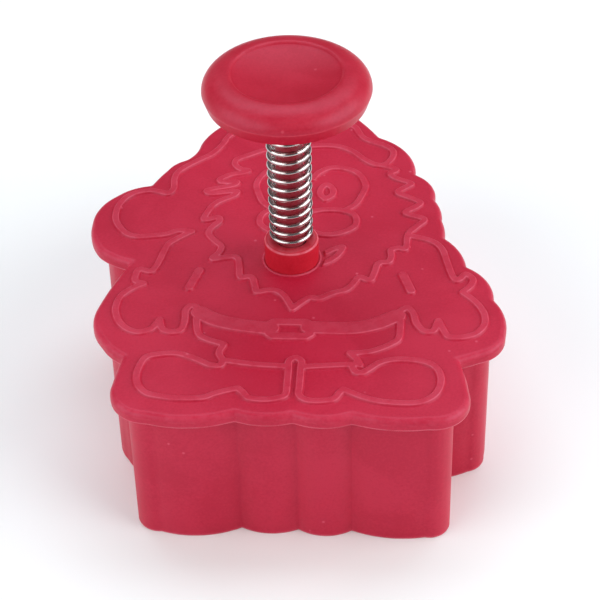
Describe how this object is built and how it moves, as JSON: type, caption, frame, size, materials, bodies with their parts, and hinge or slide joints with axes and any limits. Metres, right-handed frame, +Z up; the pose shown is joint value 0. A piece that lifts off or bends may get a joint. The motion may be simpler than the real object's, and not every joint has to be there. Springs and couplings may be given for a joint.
{
  "type": "spring-plunger biscuit cutter",
  "caption": "Spring-plunger biscuit cutter shaped as a bearded winter figure: flanged cutting body, guide collar, coil spring, and a thumb knob that pushes an embossing stamp.",
  "frame": {"origin": "centre of the flange's box, on the plane that the cutting edge rests on", "axes": "+Z up along the plunger; +Y from the figure's boots to its cap; +X to the right when the boots point to the viewer"},
  "size_m": [0.0624, 0.0802, 0.0576],
  "materials": {
    "red_moulding": "satin",
    "spring_steel": "bright drawn wire"
  },
  "bodies": {
    "cutter": {"cutter_body": "red_moulding", "guide_collar": "red_moulding", "return_spring": "spring_steel"},
    "plunger": {"plunger_stem": "red_moulding", "press_knob": "red_moulding", "stamp_plate": "red_moulding"}
  },
  "joints": [
    {"name": "plunger_slide", "type": "slide", "parent": "cutter", "child": "plunger", "axis": [0, 0, -1], "range_m": [0, 0.0105], "stiffness_N_per_m": 1620, "springref_m": -0.0042, "deforming": ["return_spring"]}
  ]
}
